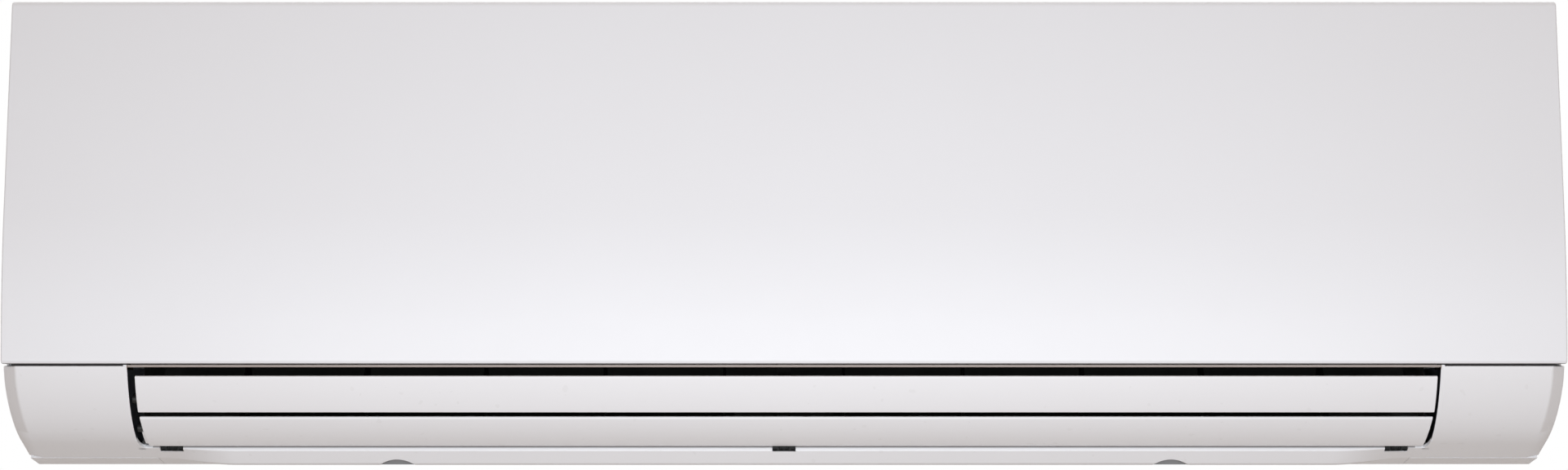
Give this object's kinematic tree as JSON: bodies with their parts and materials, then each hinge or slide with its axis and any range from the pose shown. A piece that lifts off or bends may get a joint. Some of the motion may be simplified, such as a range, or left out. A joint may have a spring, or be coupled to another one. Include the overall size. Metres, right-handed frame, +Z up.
{
  "type": "wall-mounted fan coil unit",
  "caption": "Wide white wall-mounted fan coil unit with a hinged curved front panel, twin outlet louvers, cross-flow fan and folded water coil.",
  "frame": {"origin": "on the wall plane, at the centre of the wall plate's screw holes", "axes": "+X to the right seen from the room, +Y into the wall, +Z up"},
  "size_m": [1.072, 0.23, 0.322],
  "materials": {
    "panel_white": "smooth moulded, soft sheen",
    "casing_white": "fine moulded texture",
    "duct_black": "matt moulded",
    "fan_grey": "matt moulded",
    "clip_dark": "matt moulded",
    "zinc_steel": "zinc-coated sheet",
    "fin_aluminium": "close fins",
    "copper": "dull copper",
    "brass": "turned brass",
    "rubber": "matt rubber",
    "motor_steel": "satin",
    "shaft_steel": "ground",
    "filter_mesh": "fine mesh in a moulded frame",
    "box_ivory": "matt moulded",
    "board_green": "laminate",
    "parts_black": "moulded",
    "terminal_grey": "moulded"
  },
  "bodies": {
    "casing": {"wall_plate": "zinc_steel", "rear_chassis": "casing_white", "front_frame": "casing_white", "top_grille": "casing_white", "left_filter": "filter_mesh", "right_filter": "filter_mesh", "front_lower_coil": "fin_aluminium", "front_upper_coil": "fin_aluminium", "rear_coil": "fin_aluminium", "coil_end_plates": "zinc_steel", "coil_tubes": "copper", "supply_pipe": "copper", "return_pipe": "copper", "pipe_unions": "brass", "air_vent": "brass", "water_sensor": "copper", "drain_pan": "duct_black", "fan_motor": "motor_steel", "rubber_mounts": "rubber", "motor_clamp": "zinc_steel", "control_box": "box_ivory", "control_box_cover": "box_ivory", "control_board": "board_green", "board_components": "parts_black", "terminal_block": "terminal_grey", "cable_clamp": "parts_black", "receiver_board": "board_green", "louver_motor": "motor_steel", "upper_louver_support": "duct_black", "lower_louver_support": "duct_black", "lip_clips": "clip_dark", "frame_screws": "zinc_steel"},
    "front_panel": {"front_panel": "panel_white"},
    "upper_louver": {"upper_louver": "panel_white"},
    "lower_louver": {"lower_louver": "panel_white"},
    "louver_link": {"louver_link": "clip_dark"},
    "fan": {"fan_wheel": "fan_grey", "fan_shafts": "shaft_steel"},
    "test_button": {"test_button": "parts_black"},
    "left_vane_rod": {"left_vane_rod": "clip_dark"},
    "right_vane_rod": {"right_vane_rod": "clip_dark"},
    "left_vane_1": {"left_vane_1": "clip_dark"},
    "left_vane_2": {"left_vane_2": "clip_dark"},
    "left_vane_3": {"left_vane_3": "clip_dark"},
    "left_vane_4": {"left_vane_4": "clip_dark"},
    "left_vane_5": {"left_vane_5": "clip_dark"},
    "right_vane_1": {"right_vane_1": "clip_dark"},
    "right_vane_2": {"right_vane_2": "clip_dark"},
    "right_vane_3": {"right_vane_3": "clip_dark"},
    "right_vane_4": {"right_vane_4": "clip_dark"},
    "right_vane_5": {"right_vane_5": "clip_dark"}
  },
  "joints": [
    {"name": "panel_open", "type": "hinge", "parent": "casing", "child": "front_panel", "pos_m": [0, -0.188, 0.147], "axis": [-1, 0, 0], "range_deg": [0, 60]},
    {"name": "upper_louver_tilt", "type": "hinge", "parent": "casing", "child": "upper_louver", "pos_m": [0, -0.2, -0.119], "axis": [1, 0, 0], "range_deg": [0, 75]},
    {"name": "lower_louver_tilt", "type": "hinge", "parent": "casing", "child": "lower_louver", "pos_m": [0, -0.178, -0.139], "axis": [1, 0, 0], "range_deg": [0, 75]},
    {"name": "louver_link_turn", "type": "hinge", "parent": "upper_louver", "child": "louver_link", "pos_m": [0.4605, -0.19, -0.119], "axis": [1, 0, 0], "range_deg": [-75, 0]},
    {"name": "fan_spin", "type": "hinge", "parent": "casing", "child": "fan", "pos_m": [0, -0.098, -0.043], "axis": [1, 0, 0], "continuous": true},
    {"name": "left_vane_1_turn", "type": "hinge", "parent": "casing", "child": "left_vane_1", "pos_m": [-0.042, -0.12313, -0.12807], "axis": [0, -0.5446, 0.8387], "range_deg": [-30, 30]},
    {"name": "left_vane_2_turn", "type": "hinge", "parent": "casing", "child": "left_vane_2", "pos_m": [-0.126, -0.12313, -0.12807], "axis": [0, -0.5446, 0.8387], "range_deg": [-30, 30]},
    {"name": "left_vane_3_turn", "type": "hinge", "parent": "casing", "child": "left_vane_3", "pos_m": [-0.21, -0.12313, -0.12807], "axis": [0, -0.5446, 0.8387], "range_deg": [-30, 30]},
    {"name": "left_vane_4_turn", "type": "hinge", "parent": "casing", "child": "left_vane_4", "pos_m": [-0.294, -0.12313, -0.12807], "axis": [0, -0.5446, 0.8387], "range_deg": [-30, 30]},
    {"name": "left_vane_5_turn", "type": "hinge", "parent": "casing", "child": "left_vane_5", "pos_m": [-0.378, -0.12313, -0.12807], "axis": [0, -0.5446, 0.8387], "range_deg": [-30, 30]},
    {"name": "left_vane_rod_turn", "type": "hinge", "parent": "left_vane_1", "child": "left_vane_rod", "pos_m": [-0.042, -0.13781, -0.13117], "axis": [0, -0.5446, 0.8387], "range_deg": [-30, 30]},
    {"name": "right_vane_1_turn", "type": "hinge", "parent": "casing", "child": "right_vane_1", "pos_m": [0.042, -0.12313, -0.12807], "axis": [0, -0.5446, 0.8387], "range_deg": [-30, 30]},
    {"name": "right_vane_2_turn", "type": "hinge", "parent": "casing", "child": "right_vane_2", "pos_m": [0.126, -0.12313, -0.12807], "axis": [0, -0.5446, 0.8387], "range_deg": [-30, 30]},
    {"name": "right_vane_3_turn", "type": "hinge", "parent": "casing", "child": "right_vane_3", "pos_m": [0.21, -0.12313, -0.12807], "axis": [0, -0.5446, 0.8387], "range_deg": [-30, 30]},
    {"name": "right_vane_4_turn", "type": "hinge", "parent": "casing", "child": "right_vane_4", "pos_m": [0.294, -0.12313, -0.12807], "axis": [0, -0.5446, 0.8387], "range_deg": [-30, 30]},
    {"name": "right_vane_5_turn", "type": "hinge", "parent": "casing", "child": "right_vane_5", "pos_m": [0.378, -0.12313, -0.12807], "axis": [0, -0.5446, 0.8387], "range_deg": [-30, 30]},
    {"name": "right_vane_rod_turn", "type": "hinge", "parent": "right_vane_1", "child": "right_vane_rod", "pos_m": [0.042, -0.13781, -0.13117], "axis": [0, -0.5446, 0.8387], "range_deg": [-30, 30]},
    {"name": "test_button_press", "type": "slide", "parent": "casing", "child": "test_button", "axis": [0, 1, 0], "range_m": [0, 0.0015], "stiffness_N_per_m": 300}
  ],
  "couplings": [
    {"joint": "lower_louver_tilt", "follows": "upper_louver_tilt", "ratio": 1},
    {"joint": "louver_link_turn", "follows": "upper_louver_tilt", "ratio": -1},
    {"joint": "left_vane_2_turn", "follows": "left_vane_1_turn", "ratio": 1},
    {"joint": "left_vane_3_turn", "follows": "left_vane_1_turn", "ratio": 1},
    {"joint": "left_vane_4_turn", "follows": "left_vane_1_turn", "ratio": 1},
    {"joint": "left_vane_5_turn", "follows": "left_vane_1_turn", "ratio": 1},
    {"joint": "left_vane_rod_turn", "follows": "left_vane_1_turn", "ratio": -1},
    {"joint": "right_vane_2_turn", "follows": "right_vane_1_turn", "ratio": 1},
    {"joint": "right_vane_3_turn", "follows": "right_vane_1_turn", "ratio": 1},
    {"joint": "right_vane_4_turn", "follows": "right_vane_1_turn", "ratio": 1},
    {"joint": "right_vane_5_turn", "follows": "right_vane_1_turn", "ratio": 1},
    {"joint": "right_vane_rod_turn", "follows": "right_vane_1_turn", "ratio": -1}
  ]
}
